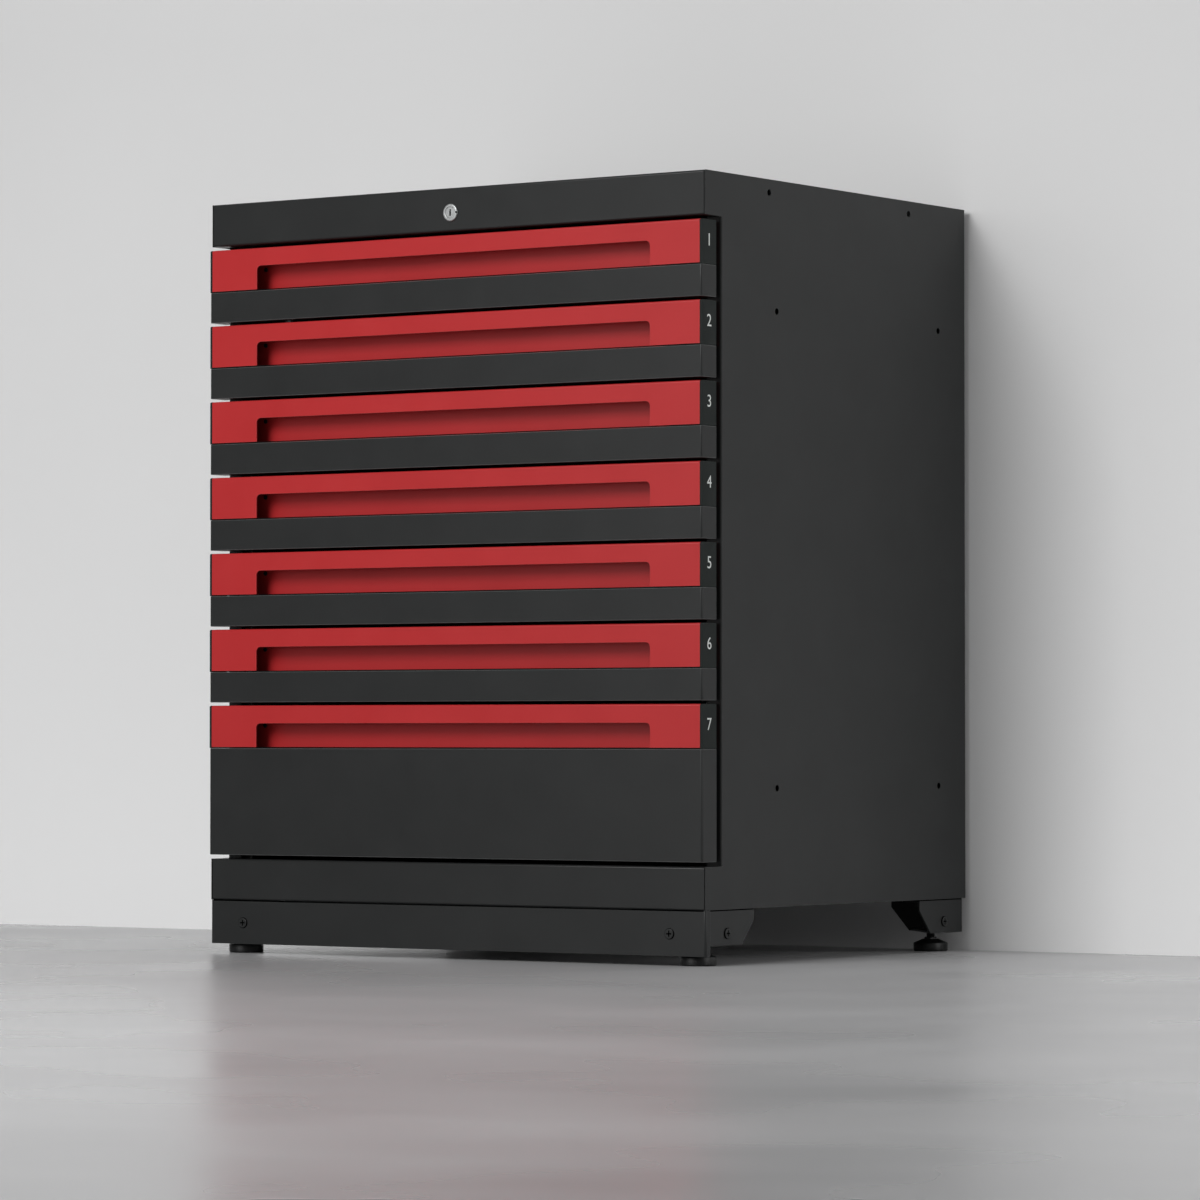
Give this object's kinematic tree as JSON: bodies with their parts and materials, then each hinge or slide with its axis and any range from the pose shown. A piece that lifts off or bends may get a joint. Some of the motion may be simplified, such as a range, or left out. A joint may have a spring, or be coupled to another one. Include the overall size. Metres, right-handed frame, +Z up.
{
  "type": "tool cabinet",
  "caption": "Free-standing steel tool cabinet with sliding drawers, recessed full-width handle bands, a central key lock and levelling feet.",
  "frame": {"origin": "on the floor, at the middle of the cabinet's width and overall depth", "axes": "+Z up, +X to the right seen from the front, the drawers open towards -Y"},
  "size_m": [0.675, 0.543, 0.85],
  "materials": {
    "body_paint": "fine satin powder coat",
    "handle_paint": "satin powder coat",
    "cap_plastic": "matt moulded plastic",
    "zinc": "bright zinc plate",
    "screw_black": "black passivated steel",
    "chrome": "satin chrome plate",
    "foot_plastic": "moulded nylon pad on a black steel stem"
  },
  "bodies": {
    "cabinet": {"side_panel_left": "body_paint", "side_panel_right": "body_paint", "back_panel": "body_paint", "top_cover": "body_paint", "base_pan": "body_paint", "uprights": "body_paint", "outer_rails": "zinc", "lock_cylinder": "chrome", "plinth": "body_paint", "corner_brackets": "body_paint", "base_screws": "screw_black"},
    "lock_plug": {"lock_plug": "chrome", "lock_rod": "zinc"},
    "lock_bar": {"lock_bar": "zinc"},
    "foot_front_left": {"foot_front_left": "foot_plastic"},
    "foot_front_right": {"foot_front_right": "foot_plastic"},
    "foot_rear_left": {"foot_rear_left": "foot_plastic"},
    "foot_rear_right": {"foot_rear_right": "foot_plastic"},
    "drawer_1": {"drawer_1_tray": "body_paint", "drawer_1_front": "body_paint", "drawer_1_handle": "handle_paint", "drawer_1_end_caps": "cap_plastic", "drawer_1_inner_rails": "zinc"},
    "slide_1": {"drawer_1_middle_rails": "zinc"},
    "drawer_2": {"drawer_2_tray": "body_paint", "drawer_2_front": "body_paint", "drawer_2_handle": "handle_paint", "drawer_2_end_caps": "cap_plastic", "drawer_2_inner_rails": "zinc"},
    "slide_2": {"drawer_2_middle_rails": "zinc"},
    "drawer_3": {"drawer_3_tray": "body_paint", "drawer_3_front": "body_paint", "drawer_3_handle": "handle_paint", "drawer_3_end_caps": "cap_plastic", "drawer_3_inner_rails": "zinc"},
    "slide_3": {"drawer_3_middle_rails": "zinc"},
    "drawer_4": {"drawer_4_tray": "body_paint", "drawer_4_front": "body_paint", "drawer_4_handle": "handle_paint", "drawer_4_end_caps": "cap_plastic", "drawer_4_inner_rails": "zinc"},
    "slide_4": {"drawer_4_middle_rails": "zinc"},
    "drawer_5": {"drawer_5_tray": "body_paint", "drawer_5_front": "body_paint", "drawer_5_handle": "handle_paint", "drawer_5_end_caps": "cap_plastic", "drawer_5_inner_rails": "zinc"},
    "slide_5": {"drawer_5_middle_rails": "zinc"},
    "drawer_6": {"drawer_6_tray": "body_paint", "drawer_6_front": "body_paint", "drawer_6_handle": "handle_paint", "drawer_6_end_caps": "cap_plastic", "drawer_6_inner_rails": "zinc"},
    "slide_6": {"drawer_6_middle_rails": "zinc"},
    "drawer_7": {"drawer_7_tray": "body_paint", "drawer_7_front": "body_paint", "drawer_7_handle": "handle_paint", "drawer_7_end_caps": "cap_plastic", "drawer_7_inner_rails": "zinc"},
    "slide_7": {"drawer_7_middle_rails": "zinc"}
  },
  "joints": [
    {"name": "drawer_1_pull", "type": "slide", "parent": "cabinet", "child": "drawer_1", "axis": [0, -1, 0], "range_m": [0, 0.46]},
    {"name": "slide_1_travel", "type": "slide", "parent": "cabinet", "child": "slide_1", "axis": [0, -1, 0], "range_m": [0, 0.23]},
    {"name": "drawer_2_pull", "type": "slide", "parent": "cabinet", "child": "drawer_2", "axis": [0, -1, 0], "range_m": [0, 0.46]},
    {"name": "slide_2_travel", "type": "slide", "parent": "cabinet", "child": "slide_2", "axis": [0, -1, 0], "range_m": [0, 0.23]},
    {"name": "drawer_3_pull", "type": "slide", "parent": "cabinet", "child": "drawer_3", "axis": [0, -1, 0], "range_m": [0, 0.46]},
    {"name": "slide_3_travel", "type": "slide", "parent": "cabinet", "child": "slide_3", "axis": [0, -1, 0], "range_m": [0, 0.23]},
    {"name": "drawer_4_pull", "type": "slide", "parent": "cabinet", "child": "drawer_4", "axis": [0, -1, 0], "range_m": [0, 0.46]},
    {"name": "slide_4_travel", "type": "slide", "parent": "cabinet", "child": "slide_4", "axis": [0, -1, 0], "range_m": [0, 0.23]},
    {"name": "drawer_5_pull", "type": "slide", "parent": "cabinet", "child": "drawer_5", "axis": [0, -1, 0], "range_m": [0, 0.46]},
    {"name": "slide_5_travel", "type": "slide", "parent": "cabinet", "child": "slide_5", "axis": [0, -1, 0], "range_m": [0, 0.23]},
    {"name": "drawer_6_pull", "type": "slide", "parent": "cabinet", "child": "drawer_6", "axis": [0, -1, 0], "range_m": [0, 0.46]},
    {"name": "slide_6_travel", "type": "slide", "parent": "cabinet", "child": "slide_6", "axis": [0, -1, 0], "range_m": [0, 0.23]},
    {"name": "drawer_7_pull", "type": "slide", "parent": "cabinet", "child": "drawer_7", "axis": [0, -1, 0], "range_m": [0, 0.46]},
    {"name": "slide_7_travel", "type": "slide", "parent": "cabinet", "child": "slide_7", "axis": [0, -1, 0], "range_m": [0, 0.23]},
    {"name": "lock_turn", "type": "hinge", "parent": "cabinet", "child": "lock_plug", "pos_m": [0, -0.2665, 0.8226], "axis": [0, 1, 0], "range_deg": [0, 90]},
    {"name": "lock_bar_lift", "type": "slide", "parent": "cabinet", "child": "lock_bar", "axis": [0, 0, 1], "range_m": [0, 0.01202]},
    {"name": "foot_front_left_turn", "type": "hinge", "parent": "cabinet", "child": "foot_front_left", "pos_m": [-0.309, -0.238, 0], "axis": [0, 0, 1], "continuous": true},
    {"name": "foot_front_right_turn", "type": "hinge", "parent": "cabinet", "child": "foot_front_right", "pos_m": [0.309, -0.238, 0], "axis": [0, 0, 1], "continuous": true},
    {"name": "foot_rear_left_turn", "type": "hinge", "parent": "cabinet", "child": "foot_rear_left", "pos_m": [-0.309, 0.2395, 0], "axis": [0, 0, 1], "continuous": true},
    {"name": "foot_rear_right_turn", "type": "hinge", "parent": "cabinet", "child": "foot_rear_right", "pos_m": [0.309, 0.2395, 0], "axis": [0, 0, 1], "continuous": true}
  ],
  "couplings": [
    {"joint": "slide_1_travel", "follows": "drawer_1_pull", "ratio": 0.5},
    {"joint": "slide_2_travel", "follows": "drawer_2_pull", "ratio": 0.5},
    {"joint": "slide_3_travel", "follows": "drawer_3_pull", "ratio": 0.5},
    {"joint": "slide_4_travel", "follows": "drawer_4_pull", "ratio": 0.5},
    {"joint": "slide_5_travel", "follows": "drawer_5_pull", "ratio": 0.5},
    {"joint": "slide_6_travel", "follows": "drawer_6_pull", "ratio": 0.5},
    {"joint": "slide_7_travel", "follows": "drawer_7_pull", "ratio": 0.5},
    {"joint": "lock_turn", "follows": "lock_bar_lift", "rad_per_m": 130.67}
  ]
}
